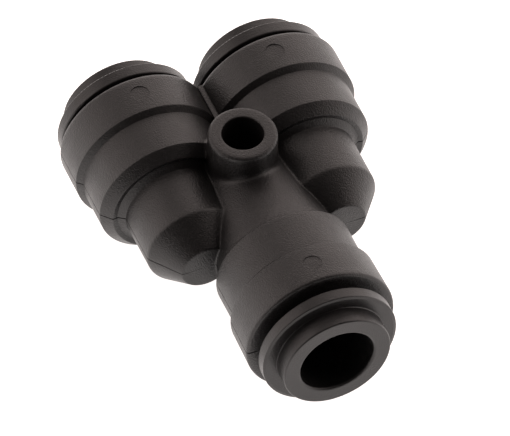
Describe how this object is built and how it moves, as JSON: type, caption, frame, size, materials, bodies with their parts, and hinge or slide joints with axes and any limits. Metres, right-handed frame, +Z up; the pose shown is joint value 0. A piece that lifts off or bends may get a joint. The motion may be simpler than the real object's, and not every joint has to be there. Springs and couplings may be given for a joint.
{
  "type": "push-fit tube divider",
  "caption": "Push-fit two-way divider: two parallel tube ports on one side, a single port on the other, sliding release collets and a screw boss between them.",
  "frame": {"origin": "on the mounting hole's axis, halfway up the boss, where the ports' centre plane crosses it", "axes": "+Z up along the mounting hole, +Y towards the mouths of the two rear ports, +X across them to the right port"},
  "size_m": [0.0472, 0.0622, 0.026],
  "materials": {
    "body_acetal": "black acetal with a fine spark-eroded texture",
    "collet_acetal": "black acetal, smooth and slightly shiny",
    "tooth_steel": "stamped stainless steel",
    "seal_rubber": "black moulded rubber"
  },
  "bodies": {
    "fitting": {"fitting_body": "body_acetal", "o_ring_front": "seal_rubber", "o_ring_rear_left": "seal_rubber", "o_ring_rear_right": "seal_rubber"},
    "collet_front": {"collet_front": "collet_acetal", "grip_tooth_front_1": "tooth_steel", "grip_tooth_front_2": "tooth_steel", "grip_tooth_front_3": "tooth_steel", "grip_tooth_front_4": "tooth_steel", "grip_tooth_front_5": "tooth_steel", "grip_tooth_front_6": "tooth_steel", "grip_tooth_front_7": "tooth_steel", "grip_tooth_front_8": "tooth_steel"},
    "collet_rear_left": {"collet_rear_left": "collet_acetal", "grip_tooth_rear_left_1": "tooth_steel", "grip_tooth_rear_left_2": "tooth_steel", "grip_tooth_rear_left_3": "tooth_steel", "grip_tooth_rear_left_4": "tooth_steel", "grip_tooth_rear_left_5": "tooth_steel", "grip_tooth_rear_left_6": "tooth_steel", "grip_tooth_rear_left_7": "tooth_steel", "grip_tooth_rear_left_8": "tooth_steel"},
    "collet_rear_right": {"collet_rear_right": "collet_acetal", "grip_tooth_rear_right_1": "tooth_steel", "grip_tooth_rear_right_2": "tooth_steel", "grip_tooth_rear_right_3": "tooth_steel", "grip_tooth_rear_right_4": "tooth_steel", "grip_tooth_rear_right_5": "tooth_steel", "grip_tooth_rear_right_6": "tooth_steel", "grip_tooth_rear_right_7": "tooth_steel", "grip_tooth_rear_right_8": "tooth_steel"}
  },
  "joints": [
    {"name": "collet_front_slide", "type": "slide", "parent": "fitting", "child": "collet_front", "axis": [0, 1, 0], "range_m": [0, 0.0013]},
    {"name": "collet_rear_left_slide", "type": "slide", "parent": "fitting", "child": "collet_rear_left", "axis": [0, -1, 0], "range_m": [-0.00055, 0.00075]},
    {"name": "collet_rear_right_slide", "type": "slide", "parent": "fitting", "child": "collet_rear_right", "axis": [0, -1, 0], "range_m": [-0.00055, 0.00075]}
  ]
}
